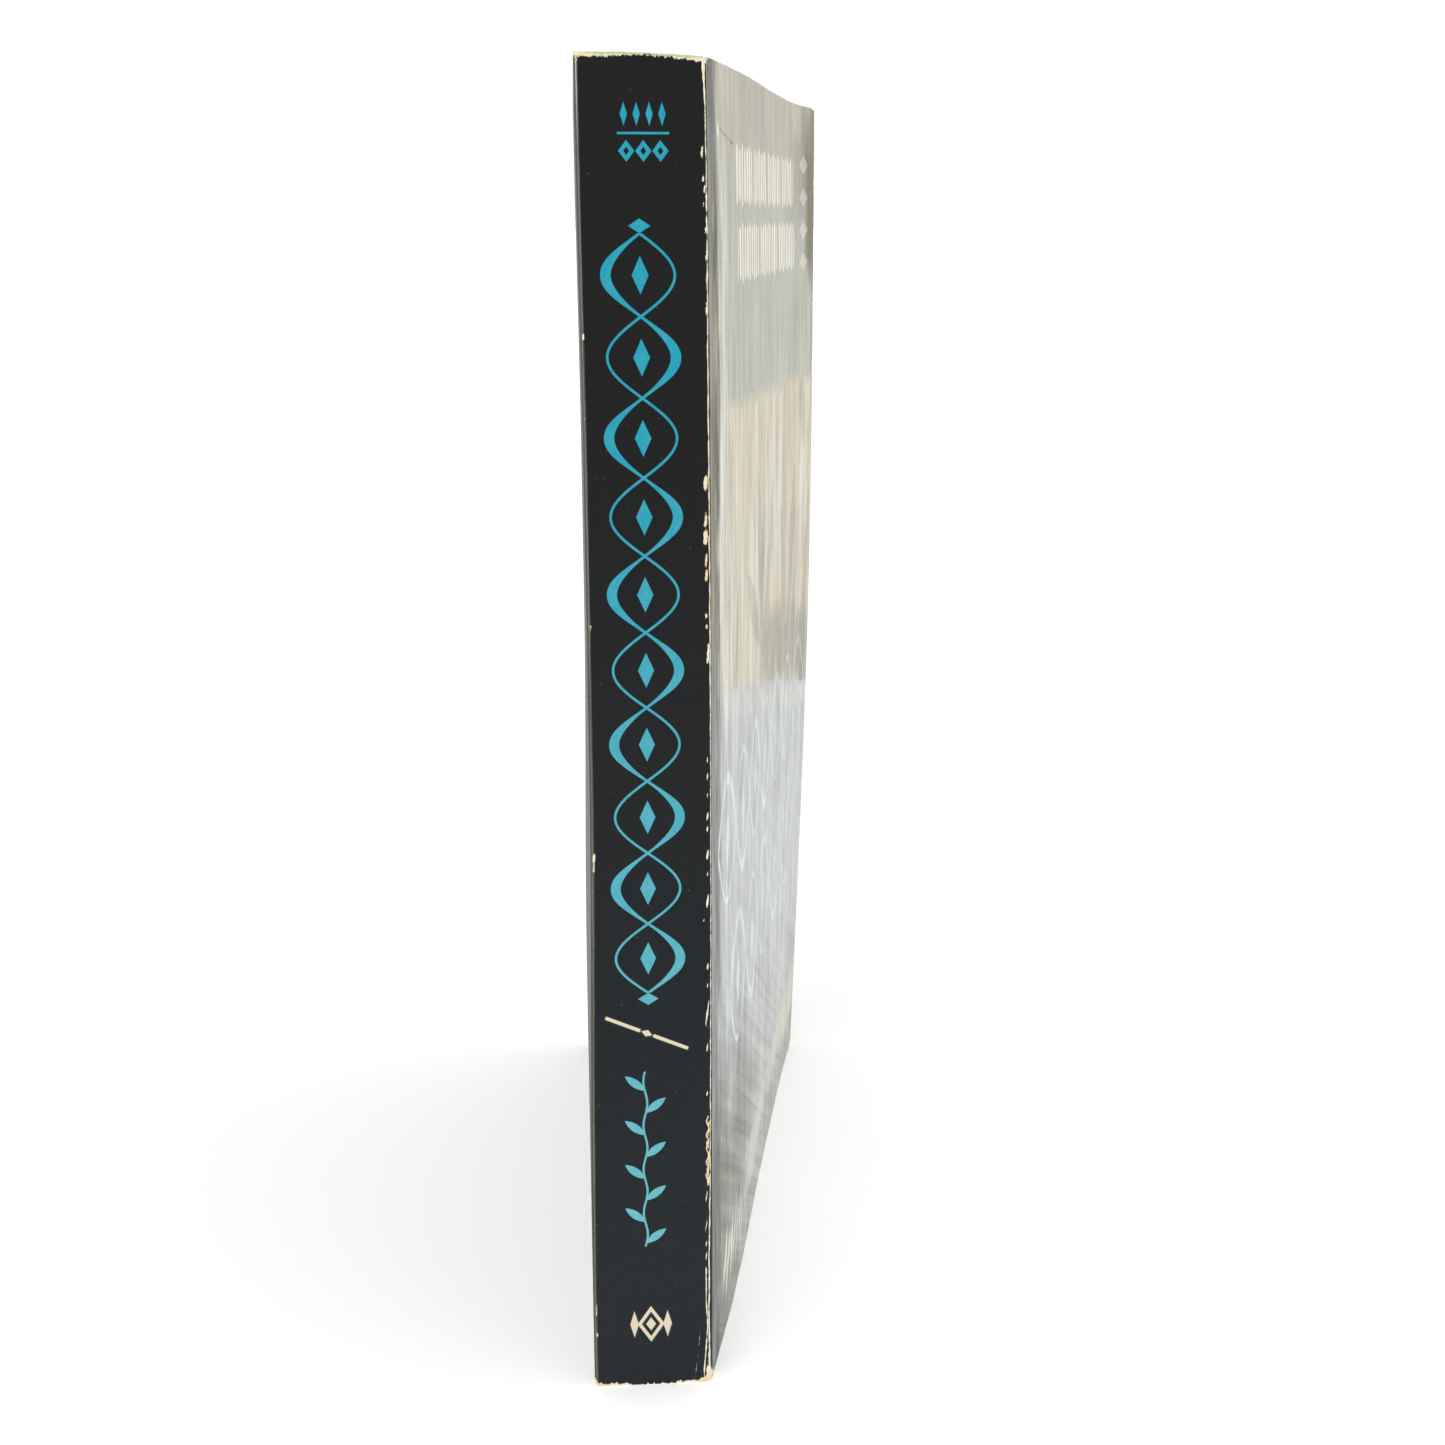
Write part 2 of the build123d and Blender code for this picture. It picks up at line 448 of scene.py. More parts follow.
def fold_crack(v):
    """Centre and half width of the rubbed line up the front fold: broadest at the head and at the
    tail, thin and thinning between them, and uneven all along, most of all from 141 to 151 mm."""
    knots = (0, 2, 6, 14, 22, 26, 40, 62, 88, 92, 118, 130, 138, 150, 156, 159, 161.5, 166)
    places = (7.42, 7.40, 7.28, 7.28, 7.34, 7.45, 7.56, 7.68, 7.68, 7.64, 7.56, 7.50, 7.58, 7.62,
              7.60, 7.58, 7.44, 7.38)
    centre = np.interp(v, knots, places) + 0.04 * uneven(14, v, 7.0)
    knots = (0, 1.5, 3, 6, 25, 40, 86, 95, 120, 138, 141, 151, 153, 160, 162, 164, 166)
    widths = (0.45, 0.26, 0.14, 0.09, 0.085, 0.08, 0.07, 0.10, 0.11, 0.08, 0.10, 0.11, 0.07, 0.09,
              0.15, 0.2, 0.3)
    chain = smooth_step(139, 142, v) * smooth_step(153, 150, v)
    half = np.interp(v, knots, widths) * (1 + (0.35 + 0.5 * chain) * uneven(15, v, 2.6))
    return centre, half


def fold_dashes(v):
    """Centre and half width of the broken second line: the dashes, a wavy strand from 28.5 to
    38.4 mm, and below 17 mm a thin line that meets the first one above the corner."""
    knots = (0, 2.2, 4.6, 7, 8.5, 9.6, 12, 17, 22, 28, 42, 58, 90)
    places = (6.60, 6.64, 6.83, 7.00, 7.10, 7.02, 6.89, 6.90, 6.92, 6.98, 7.06, 7.14, 7.16)
    strand = smooth_step(28.2, 28.8, v) * smooth_step(38.6, 38.0, v)
    centre = np.interp(v, knots, places) + strand * (0.10 + 0.16 * np.sin(2 * np.pi * v / 1.9))
    low = smooth_step(17.4, 16.6, v)
    thin = 0.075 * low * (1 + 0.35 * uneven(16, v, 2.9))
    half = np.maximum(0.10 * strand, thin) - 0.08 * (1 - low) * (1 - strand)
    for middle, reach, width in DASHES:
        half = np.maximum(half, width * (1.25 - ((v - middle) / reach) ** 2))
        centre = centre + (np.abs(v - middle) < reach * 1.15) * (v - middle) * 0.13
    return centre, np.maximum(half, -0.3)


def tail_crease(v):
    """Centre and half width of the fine pale crease that leans up from the spine's tail to 9 mm."""
    centre = np.interp(v, (0.4, 4.6, 9.2), (5.36, 5.88, 6.19))
    ends = smooth_step(0.2, 1.2, v) * smooth_step(9.4, 7.0, v)
    break_off = smooth_step(0.3, 0.6, np.abs(v - 4.9))
    return centre, 0.055 * ends * break_off * (1 + 0.3 * uneven(17, v, 1.9)) - 0.05


def rubbed(u, v):
    """How far inside a rubbed edge a place of the card lies, in millimetres, below 0 outside.

    It is the greatest of: the bands along head, tail and fore edges, the corner at the front
    fold's tail and the one at the back fold's head.
    """
    low, high = card_outline(u)
    knots = (-9.5, -8.2, -7.0, -4.0, -1.0, 0.5, 1.4, 1.7, 2.0, 3.0, 5.0, 6.6, 7.6, 9.5, 14.0)
    reaches = (0.08, 0.26, 0.46, 0.42, 0.26, 0.15, 0.18, 0.38, 0.18, 0.24, 0.34, 0.45, 0.5, 0.0, -0.12)
    head = np.interp(u, knots, reaches) + 0.03 * uneven(11, u, 1.3)
    knots = (-9.5, -7.6, -6.3, -6.0, -3.3, -2.9, -1.2, -0.9, -0.6, -0.25, 0, 0.25, 0.85, 1.1, 1.4,
             2.6, 3.0, 4.4, 6.0, 7.2, 8.2, 10)
    reaches = (0.02, 0.50, 0.48, 0.32, 0.34, -0.05, -0.05, 0.13, -0.05, -0.05, 0.14, -0.05, -0.05,
               0.22, 0.0, 0.0, 0.24, 0.28, 0.48, 0.95, 0.8, 0.04)
    tail = np.interp(u, knots, reaches) + 0.09 * uneven(12, u, 1.1)
    fore = 0.04 + 0.09 * uneven(13, v, 9.0)
    corner = 0.5 * (1 - v / 3.2) - np.abs(u - 7.12)
    left = 0.24 * smooth_step(163.4, 164.3, v) - 0.15 - np.abs(u + 7.5)
    inside = [head - (high - v), tail - (v - low), fore - (FRONT_EDGE_U - u), fore - (u - BACK_EDGE_U),
              corner, left]
    return np.clip(np.maximum.reduce(inside), -1.0, 1.0)


def chipped(u, v):
    """The same for the chips beside the folds, each (1 - its ellipse's radius) times its width."""
    inside = []
    for u0, v0, half_width, half_height in CHIPS:
        radius = np.hypot((u - u0 - (v - v0) * 0.06) / half_width, (v - v0) / half_height)
        inside.append((1 - radius) * half_width)
    return np.clip(np.maximum.reduce(inside), -1.0, 1.0)


def soiled(u, v):
    """How golden the bare card is, 0 to 1: most in the chips at two heights of the right fold,
    in the corners at its tail and along the head."""
    high_patch = smooth_step(104, 108, v) * smooth_step(121, 118, v)
    low_patch = smooth_step(23, 27, v) * smooth_step(40, 37, v)
    corner = smooth_step(2.5, 0.5, v) * smooth_step(4.0, 7.0, np.abs(u))
    head = smooth_step(160.5, 163.5, v) * smooth_step(9.0, 8.0, np.abs(u))
    return (u > 0) * np.maximum(high_patch, low_patch) * 0.6 + 0.7 * corner + 0.45 * head


# Nodes, written as formulas

def linear(colour):
    """A seen colour as light: ((c + 0.055) / 1.055) ^ 2.4, or c / 12.92 where it is very dark."""
    c = np.array(colour[:])
    return tuple(np.where(c <= 0.04045, c / 12.92, ((c + 0.055) / 1.055) ** 2.4)) + (1.0,)


class Field:
    """A number over a surface, carried by a node's socket. Its sums, products and functions are
    Math nodes in the same material."""

    def __init__(self, tree, socket):
        self.tree = tree
        self.socket = socket

    def math(self, operation, *others, clamp=False):
        node = self.tree.nodes.new("ShaderNodeMath")
        node.operation = operation
        node.use_clamp = clamp
        for entry, value in zip(node.inputs, (self,) + others):
            if isinstance(value, Field):
                self.tree.links.new(value.socket, entry)
            else:
                entry.default_value = value
        return Field(self.tree, node.outputs[0])

    def __rsub__(self, other):
        return (self * -1.0) + other

    __add__ = __radd__ = partialmethod(math, "ADD")
    __sub__ = partialmethod(math, "SUBTRACT")
    __mul__ = __rmul__ = partialmethod(math, "MULTIPLY")
    __truediv__ = partialmethod(math, "DIVIDE")
    __abs__ = partialmethod(math, "ABSOLUTE")
    sin = partialmethod(math, "SINE")
    cos = partialmethod(math, "COSINE")
    sqrt = partialmethod(math, "SQRT")
    floor = partialmethod(math, "FLOOR")
    larger = partialmethod(math, "MAXIMUM")
    smaller = partialmethod(math, "MINIMUM")

    def clipped(self, more=0.0):
        """The number plus more, kept between 0 and 1."""
        return self.math("ADD", more, clamp=True)

    def inside(self, soft):
        """1 where the number is above 0, over a soft step."""
        return (self / soft).clipped(0.5)

    def above(self, edge, soft):
        return (self - edge).inside(soft)

    def below(self, edge, soft):
        return (edge - self).inside(soft)

    def between(self, low, high, soft):
        return self.above(low, soft) * self.below(high, soft)

    def cell(self, pitch):
        """Place within a repeat of that pitch, from minus to plus half of it."""
        return self - ((self / pitch).floor() + 0.5) * pitch


class Finish:
    """One material under construction: fields to read, colours to mix and the shader to set."""

    def __init__(self, name):
        self.material = bpy.data.materials.new(name)
        self.material.use_nodes = True
        self.tree = self.material.node_tree
        self.shader = self.tree.nodes["Principled BSDF"]

    def sheet(self):
        """The two places on the unfolded sheet, in millimetres."""
        source = self.tree.nodes.new("ShaderNodeUVMap")
        source.uv_map = "sheet_mm"
        return self.split(source.outputs[0])[:2]

    def split(self, socket):
        parts = self.tree.nodes.new("ShaderNodeSeparateXYZ")
        self.tree.links.new(socket, parts.inputs[0])
        return tuple(Field(self.tree, out) for out in parts.outputs[:3])

    def object_place(self):
        """The three object coordinates, in millimetres."""
        source = self.tree.nodes.new("ShaderNodeTexCoord")
        return tuple(axis * (1 / MM) for axis in self.split(source.outputs["Object"]))

    def attribute(self, name):
        source = self.tree.nodes.new("ShaderNodeAttribute")
        source.attribute_name = name
        return Field(self.tree, source.outputs["Fac"])

    def noise(self, x, y, length_x, length_y, detail=2.0, shift=0.0, z=None):
        """Soft noise about 0, from -1 to 1, with features of the given lengths."""
        join = self.tree.nodes.new("ShaderNodeCombineXYZ")
        self.tree.links.new((x / length_x + shift).socket, join.inputs[0])
        self.tree.links.new((y / length_y).socket, join.inputs[1])
        if z is not None:
            self.tree.links.new(z.socket, join.inputs[2])
        source = self.tree.nodes.new("ShaderNodeTexNoise")
        source.noise_dimensions = "2D" if z is None else "3D"
        source.inputs["Scale"].default_value = 1.0
        source.inputs["Detail"].default_value = detail
        self.tree.links.new(join.outputs[0], source.inputs["Vector"])
        return (Field(self.tree, source.outputs["Fac"]) - 0.5) * 2.0

    def paint(self, name):
        """A paint that starts as a named colour."""
        return Paint(self.tree, name)

    def finish(self, colour, roughness, height=None, specular=0.5, relief=0.0):
        """Sets the shader: colour and roughness, and a bump that is relief millimetres high."""
        self.tree.links.new(colour.value, self.shader.inputs["Base Color"])
        if isinstance(roughness, Field):
            self.tree.links.new(roughness.socket, self.shader.inputs["Roughness"])
        else:
            self.shader.inputs["Roughness"].default_value = roughness
        self.shader.inputs["Specular IOR Level"].default_value = specular
        if height is not None:
            bump = self.tree.nodes.new("ShaderNodeBump")
            bump.inputs["Strength"].default_value = 1.0
            bump.inputs["Distance"].default_value = relief * MM
            self.tree.links.new(height.socket, bump.inputs["Height"])
            self.tree.links.new(bump.outputs[0], self.shader.inputs["Normal"])
        return self.material


class Paint:
    """A colour under construction: it starts as a named colour, and layers go over it."""

    def __init__(self, tree, name):
        self.tree = tree
        self.value = name

    def lay(self, other, share):
        """Covers it with a named colour or another paint, by a share from 0 to 1."""
        node = self.tree.nodes.new("ShaderNodeMix")
        node.data_type = "RGBA"
        layers = (self.value, other.value if isinstance(other, Paint) else other)
        for entry, layer in zip((node.inputs[6], node.inputs[7]), layers):
            if isinstance(layer, str):
                entry.default_value = linear(getattr(bpy.context.scene.paperback_colours, layer))
            else:
                self.tree.links.new(layer, entry)
        if isinstance(share, Field):
            self.tree.links.new(share.socket, node.inputs[0])
        else:
            node.inputs[0].default_value = share
        self.value = node.outputs[2]
        return self

    def shade(self, amount):
        """Makes it lighter or darker: its value times 1 + amount."""
        node = self.tree.nodes.new("ShaderNodeHueSaturation")
        self.tree.links.new(self.value, node.inputs["Color"])
        self.tree.links.new((amount + 1.0).socket, node.inputs["Value"])
        self.value = node.outputs[0]
        return self


# Ornaments: each returns how much ink there is at a place, from 0 to 1

def joined(*ornaments):
    """Ornaments together: the most ink of any."""
    return reduce(Field.larger, ornaments)


def lozenge(x, y, half_width, half_height, soft=0.08):
    """Solid lozenge: |x| / half width + |y| / half height < 1."""
    room = 1.0 - abs(x) / half_width - abs(y) / half_height
    return (room * min(half_width, half_height)).inside(soft)


def plait(x, y, reach, eye, heavy, fine, soft=0.08):
    """Two strands x = +-reach sin(pi y / eye) that cross at each eye's end. The first swells with
    the square of its swing and the second stays fine; distance is taken across the strand."""
    turn = y * (math.pi / eye)
    swing = turn.sin()
    slope = turn.cos() * (reach * math.pi / eye)
    steep = (slope * slope + 1.0).sqrt()
    first = swing * swing * (heavy - fine) + fine - abs(x - swing * reach) / steep
    second = fine - abs(x + swing * reach) / steep
    return first.larger(second).inside(soft)


def sprig(x, y, pitch, length, half_width, soft=0.08):
    """A fine waving stem with a lens-shaped leaf to either side in turn, one to each pitch. A leaf
    is |across| < half width (1 - (2 along / length - 1)^2), along a line slanting up from the stem."""
    number = (y / pitch).floor()
    side = 1.0 - 2.0 * number.math("FLOORED_MODULO", 2.0)
    out = x * side
    up = y.cell(pitch) + pitch * 0.42
    slant = math.radians(52)
    along = out * math.sin(slant) + up * math.cos(slant)
    across = out * math.cos(slant) - up * math.sin(slant)
    span = along * (2 / length) - 1.0
    leaf = (1.0 - span * span) * half_width - abs(across)
    stalk = 0.13 - abs(x - (y * (math.pi / pitch)).sin() * 0.25)
    return leaf.larger(stalk).inside(soft)


def spine_cyan(u, v):
    """Cyan ornaments of the spine: two small groups about a rule, a long plait with a lozenge in
    each eye, and a sprig."""
    head_u = u - 0.2
    small = lozenge(head_u.cell(1.5), v - 158.9, 0.42, 1.25) * abs(head_u).below(3.0, 0.05)
    rule = v.between(156.75, 157.0, 0.08) * abs(head_u).below(3.05, 0.05)
    broad = lozenge((head_u + 1.0).cell(2.0), v - 155.0, 0.95, 1.15) * abs(head_u).below(3.0, 0.05)
    hollow = lozenge((head_u + 1.0).cell(2.0), v - 155.0, 0.35, 0.45)
    middle_u = u + 0.45
    low, eye, eyes = 55.2, 9.1, 10
    y = v - low
    chain = plait(middle_u, y, 4.1, eye, 0.62, 0.15) * y.between(0, eye * eyes, 0.05)
    seeds = lozenge(middle_u, y.cell(eye), 1.0, 2.1) * y.between(0, eye * eyes, 0.05)
    ends = [lozenge(middle_u, y - end, 1.3, 0.8) for end in (-0.8, eye * eyes + 0.8)]
    stem_v = v - 20.4
    leaves = sprig(u + 0.85, stem_v, 3.05, 3.3, 0.52) * stem_v.between(-0.2, 24.2, 0.05)
    return joined(small, rule, broad * (1.0 - hollow), chain, seeds, *ends, leaves)


def spine_cream(u, v):
    """Cream ornaments of the spine: a thin slanting rule broken by a lozenge, and a lozenge
    device near the tail."""
    along = (u + 0.65) * 0.923 - (v - 49.8) * 0.385
    across = (u + 0.65) * 0.385 + (v - 49.8) * 0.923
    rule = abs(across).below(0.22, 0.08) * abs(along).below(5.7, 0.08) * abs(along).above(0.9, 0.08)
    seed = lozenge(along, across, 0.75, 0.45)
    x, y = u + 0.3, v - 8.95
    frame_line = lozenge(x, y, 1.75, 2.6) * (1.0 - lozenge(x, y, 1.2, 1.8))
    centre = lozenge(x, y, 0.65, 0.95)
    wings = lozenge(abs(x) - 2.15, y, 0.55, 1.9)
    return joined(rule, seed, frame_line, centre, wings)


def bars(s, v, middle, half_height, first, last, run):
    """A row of upright bars with pointed ends, in runs with a space between them: each bar is
    |place in its pitch| < half width, and its height varies from bar to bar."""
    pitch = 2.3
    number = (s / pitch).floor()
    reach = (number * 2.4).sin() * 0.35 + half_height
    room = 1.0 - abs(s.cell(pitch)) * 0.25 - abs(v - middle) / reach
    bar = (room * reach).inside(0.25) * abs(s.cell(pitch)).below(0.72, 0.12)
    return bar * s.between(first, last, 0.3) * abs((s - first).cell(run)).below(run / 2 - 1.0, 0.3)


def front_white(s, v):
    """White ink of the front cover: two rows of bars and a column of broad lozenges."""
    upper = bars(s, v, 153.0, 3.6, 19.5, 89.5, 17.5)
    lower = bars(s, v, 143.6, 3.6, 21.0, 91.0, 23.2)
    seeds = lozenge(s - 98.5, (v - 138.5).cell(5.0), 3.4, 1.5, 0.5) * v.between(138.5, 158.5, 0.3) * 0.5
    return joined(upper, lower, seeds)


# Plaits of the lower panel, in millimetres: middle v, first and last s, reach, length of an eye,
# heaviest half width, and the lozenges' half width and half height
PLAITS = (
    (70.8, 5.0, 103.0, 8.2, 14.0, 0.85, 1.7, 4.0),
    (48.0, 14.0, 94.0, 9.0, 16.0, 0.90, 1.9, 4.4),
)


def front_plaits(s, v):
    """Pale ink of the lower panel: plaits that run across it, with a slender lozenge in each eye,
    fainter towards their ends."""
    parts = []
    for middle, first, last, reach, eye, heavy, half_width, half_height in PLAITS:
        along, up = s - first, v - middle
        parts.append(plait(up, along, reach, eye, heavy, 0.44, 0.3) * s.between(first, last, 0.3))
        seeds = lozenge(along.cell(eye), up, half_width, half_height, 0.3)
        parts.append(seeds * s.between(first, last, 0.2))
    return joined(*parts) * (1.0 - s.above(66.0, 50.0) * 0.6)


def front_strokes(s, v):
    """White brushed blades near the tail: slender lozenges that lean, dying away across the cover."""
    lean = s - (v - 10.0) * 0.4
    stroke = lozenge(lean.cell(3.1), v - 10.0 - (lean * 1.3).sin() * 1.2, 1.3, 4.4, 0.3)
    return stroke * s.between(9.0, 40.0, 0.6) * (1.0 - (s - 9.0) / 38.0)


def blade(s, v, foot_s, foot_v, degrees, length, half_width):
    """A lens-shaped leaf that grows from its foot at a turn from upright: |across| is less than
    half width times 4 t (1 - t), where t is the place along it, from 0 to 1."""
    turn = math.radians(degrees)
    x, y = s - foot_s, v - foot_v
    t = (x * math.sin(turn) + y * math.cos(turn)) / length
    across = x * math.cos(turn) - y * math.sin(turn)
    return (t * (1.0 - t) * (4 * half_width) - abs(across)).inside(0.35)


# Leaves of two fans on the beige field: foot s and v, turn in degrees, length, half width
DARK_LEAVES = (
    (48.0, 88.0, -52, 23.0, 2.6), (48.0, 88.0, -14, 30.0, 3.0), (50.0, 87.0, 24, 27.0, 2.8),
    (80.0, 82.0, -20, 26.0, 2.6), (80.0, 82.0, 22, 30.0, 2.8),
)
PALE_LEAVES = (
    (47.0, 89.0, -34, 27.0, 1.8), (50.0, 88.0, 5, 34.0, 2.0), (81.0, 83.0, 1, 33.0, 1.9),
)


# Finishes

# Streaks and clouds of the front cover's print, about 0: broad brush marks, fine hairs, clouds,
# and brush marks that lean
Marks = namedtuple("Marks", "brush hair cloud sweep")


def upper_field(finish, s, v, marks):
    """Sage with stone streaks towards the head, dark streaks and warm ones near the fore edge."""
    brush, hair, cloud, sweep = marks
    colour = finish.paint("sage").lay("stone", (v + cloud * 14.0 + brush * 16.0).above(152.0, 9.0))
    colour.lay("moss", (brush * 1.8 + hair * 0.8 - 0.2).clipped() * v.above(140.0, 20.0))
    return colour.lay("rose", (sweep * 2.0 - 0.1).clipped() * s.above(60.0, 40.0) * 0.6)


def middle_field(finish, s, v, marks):
    """Brushed beige, rosy towards the fore edge, with two fans of leaves."""
    brush, cloud, sweep = marks.brush, marks.cloud, marks.sweep
    colour = finish.paint("beige").lay("rose", (s + cloud * 40.0).between(66.0, 99.0, 16.0) * 0.7)
    colour.lay("moss", (sweep * 1.5 + brush * 0.8).clipped(-0.05) * 0.9)
    colour.lay("bright_strip", (brush - sweep * 1.2).clipped(-0.08) * 1.4)
    for ink, leaves, share in (("moss", DARK_LEAVES, 0.38), ("bright_strip", PALE_LEAVES, 0.6)):
        colour.lay(ink, joined(*(blade(s + cloud * 3.0, v, *leaf) for leaf in leaves)) * share)
    return colour


def lower_panel(finish, s, v, marks, edge):
    """Lilac under a slanting edge, where it is bright, and boards that slant down to the tail,
    darker near the spine and parted by dusky gaps."""
    brush, cloud = marks.brush, marks.cloud
    across_board = v + s * 0.58
    board = finish.noise(across_board, s, 2.4, 60.0, 4.0, 130.0)
    boards = (v + cloud * 14.0 + s * 0.2).below(41.0, 24.0)
    colour = finish.paint("lilac").lay("ash", boards)
    near = (v + s * 0.3 + cloud * 14.0).below(44.0, 24.0) * (s + cloud * 16.0).below(34.0, 44.0)
    colour.lay("slate", near * 0.95)
    colour.lay("bright_strip", (edge + brush * 2.0).between(-4.2, -0.6, 1.6) * 0.4)
    far = s.above(55.0, 60.0)
    far_light = far * (v.below(68.0, 24.0) * 0.09 - 0.03)
    colour.shade(board * (boards * (0.5 - far * 0.35) + 0.12) + far_light)
    gap = abs((across_board + board * 2.0).cell(12.5)).below(0.34, 0.5) * boards
    return colour.lay("dusk", gap * 0.25)


def hinge_strip(finish, s, v, marks):
    """Painted shade of the bend beside the fold: a grey strip, as its colour and the share in which it
    covers the rest. It reaches about 6 mm from the fold, and further or less far at some heights."""
    hair, cloud = marks.hair, marks.cloud
    patchy = finish.noise(s, v, 3.0, 13.0, 4.0, 230.0)
    waist = v.between(37.0, 50.0, 8.0)
    top = v.above(156.0, 5.0)
    colour = finish.paint("hinge_grey").lay("hinge_olive", v.between(97.0, 153.0, 8.0))
    tone = waist * 0.13 - v.below(31.0, 10.0) * 0.31 - v.above(118.0, 14.0) * 0.10 - top * 0.14
    colour.shade(hair * 0.8 + cloud * 0.4 + tone - 0.05)
    reach = v.between(98.0, 150.0, 10.0) * 0.9 + v.between(60.0, 98.0, 10.0) * 0.4
    reach = reach + v.between(14.0, 30.0, 8.0) * 1.4 - waist * 1.0 - top * 0.5
    share = (reach - s + hair * 2.5 + patchy * 2.0 + 6.3).inside(2.6)
    share = share * (hair * 0.7 + patchy * 0.8 + top * 0.4 + 0.76)
    core = (s + hair * 2.0).between(2.2, 6.0, 2.2) * (patchy * 1.0 + v.above(50.0, 12.0) * 0.4 + 0.1)
    return colour, (share + core).clipped()


def front_colour(finish, s, v):
    """The front cover's print: the sage field above, the beige one in the middle and the lilac
    panel below, with a band of shade along the panel's edge and painted shade along the tail and
    the fore edge. Painted shade in the grey strip beside the fold is followed by a painted
    highlight past the reading crease, and over it all go the ornaments, a scratch near the head
    and fine streaks."""
    marks = Marks(
        finish.noise(s, v, 3.6, 48.0, 5.0, 3.0),
        finish.noise(s, v, 1.6, 14.0, 3.0, 40.0),
        finish.noise(s, v, 20.0, 14.0, 3.0, 17.0),
        finish.noise(s - v * 0.25, v, 7.0, 30.0, 4.0, 310.0))
    brush, hair, cloud = marks.brush, marks.hair, marks.cloud
    grain = finish.noise(s, v, 2.6, 0.55, 3.0, 90.0)
    colour = upper_field(finish, s, v, marks)
    colour.lay(middle_field(finish, s, v, marks), (v + s * 0.035 + brush * 2.5).below(126.0, 1.6))

    edge = v + s * 0.23 - 93.8
    band = (edge + cloud * 5.0).between(-1.0, 12.0, 5.0) * (s + cloud * 20.0).above(52.0, 26.0)
    colour.lay("moss", band * 0.65)
    colour.lay(lower_panel(finish, s, v, marks, edge), (edge + brush * 1.2).below(0.0, 0.9))
    foot = (v + cloud * 6.0).between(8.0, 15.5, 3.0) * (s + cloud * 24.0).above(28.0, 24.0)
    colour.lay("bright_strip", foot * 0.7)
    # Painted shade along the tail, where the cover meets the floor
    sill = (v + cloud * 3.0).below(6.0, 3.0) * s.above(55.0, 30.0)
    colour.lay("moss", sill * 0.3)
    # Painted shade along the fore edge near the head, a narrow band and a broader haze
    fore = (s + cloud * 8.0).above(101.0, 4.0) * (v + cloud * 10.0).between(137.0, 163.0, 9.0)
    colour.lay("olive", fore * 0.9)
    fore_shade_haze = (v + cloud * 8.0 + brush * 8.0).between(147.0, 162.0, 7.0) * (s + cloud * 12.0).above(90.0, 16.0)
    colour.lay("olive", fore_shade_haze * 0.4)

    # Painted shade on the grey strip beside the fold
    colour.lay(*hinge_strip(finish, s, v, marks))
    # Painted highlight on the strip past the reading crease, its strength set by height
    bright = (s + hair * 2.0 - (v - 120.0) * 0.012).between(7.4, 13.2, 2.0) * v.above(84.0, 9.0)
    lit = v.between(98.0, 128.0, 10.0) * 0.35 + 0.7 - v.above(155.0, 9.0) * 0.6
    colour.lay("bright_strip", bright * lit)

    colour.lay("pale_line", front_plaits(s, v) * 0.85)
    colour.lay("white_ink", front_white(s, v).larger(front_strokes(s, v) * 0.9))
    slant = v - 157.9 + (s - 8.2) * 0.15 + hair * 0.5
    scratch = abs(slant).below(0.13, 0.12) * s.between(8.4, 19.0, 0.5) * (grain * 1.5 + 0.75)
    colour.lay("olive", scratch.math("MULTIPLY", 0.8, clamp=True))
    colour.lay("white_ink", lozenge(s - 7.7, v - 157.6, 0.8, 1.0, 0.2))
    near_hinge = s.below(16.0, 10.0) * v.above(22.0, 16.0)
    streaks = brush * 0.26 + hair * (near_hinge * 0.25 + 0.26)
    return colour.shade(streaks + grain * 0.08 + cloud * 0.10)


def spine_colour(finish, u, v):
    """The spine's print: a near-black field, bluer towards the tail, with cyan and cream
    ornaments, faint mottling and a few pale specks."""
    fade = v.below(70.0, 110.0)
    mottle = finish.noise(u, v, 1.6, 2.4, 4.0, 11.0)
    field = finish.paint("spine_ink").lay("spine_faded", fade)
    field.shade(mottle * 0.16)
    ink_fade = (fade * 0.92 + mottle * 0.22 + 0.02).clipped()
    cyan = finish.paint("cyan_ink").lay("cyan_faded", ink_fade)
    worn_ink = 1.0 - (finish.noise(u, v, 0.35, 0.35, 3.0, 5.0) - 0.38).inside(0.25) * 0.35
    field.lay(cyan, spine_cyan(u, v) * worn_ink)
    field.lay("teal_shadow", spine_cream(u - 0.14, v + 0.20) * 0.8)
    return field.lay("cream_ink", spine_cream(u, v))


# Where the spine's black ends, on the unfolded sheet
BLACK_FROM_U, BLACK_TO_U = -7.27, 7.90


